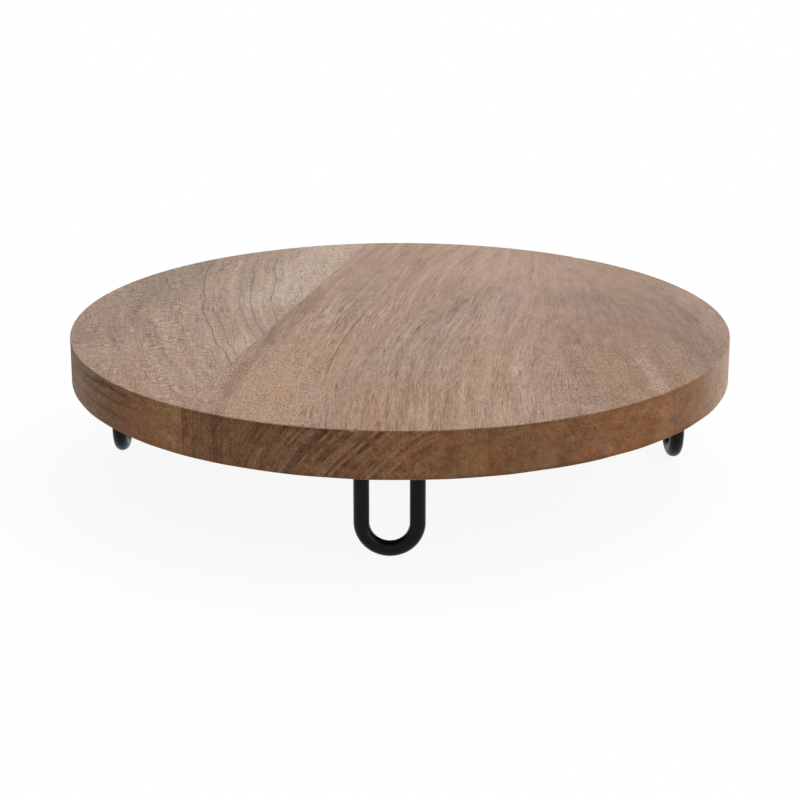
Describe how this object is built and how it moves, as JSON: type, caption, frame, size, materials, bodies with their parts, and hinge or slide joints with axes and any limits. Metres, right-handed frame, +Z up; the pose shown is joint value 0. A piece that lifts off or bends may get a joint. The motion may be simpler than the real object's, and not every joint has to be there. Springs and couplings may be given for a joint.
{
  "type": "footed serving board",
  "caption": "Round wooden serving board of edge-glued staves, raised on black legs of bent round bar, for serving and showing food.",
  "frame": {"origin": "on the floor, under the centre of the round board", "axes": "+Z up; the legs stand on the X and Y axes, with the front leg of the picture on -Y and +X to its right"},
  "size_m": [0.3, 0.3, 0.062],
  "materials": {
    "oiled_wood": "sanded hardwood, lightly oiled, open pores",
    "black_coat": "satin black powder coat",
    "black_screw": "black phosphated steel"
  },
  "bodies": {
    "root": {"narrow_stave": "oiled_wood", "wide_stave": "oiled_wood", "front_leg_bar": "black_coat", "front_leg_plate": "black_coat", "front_leg_screw_a": "black_screw", "front_leg_screw_b": "black_screw", "right_leg_bar": "black_coat", "right_leg_plate": "black_coat", "right_leg_screw_a": "black_screw", "right_leg_screw_b": "black_screw", "rear_leg_bar": "black_coat", "rear_leg_plate": "black_coat", "rear_leg_screw_a": "black_screw", "rear_leg_screw_b": "black_screw", "left_leg_bar": "black_coat", "left_leg_plate": "black_coat", "left_leg_screw_a": "black_screw", "left_leg_screw_b": "black_screw"}
  },
  "joints": []
}
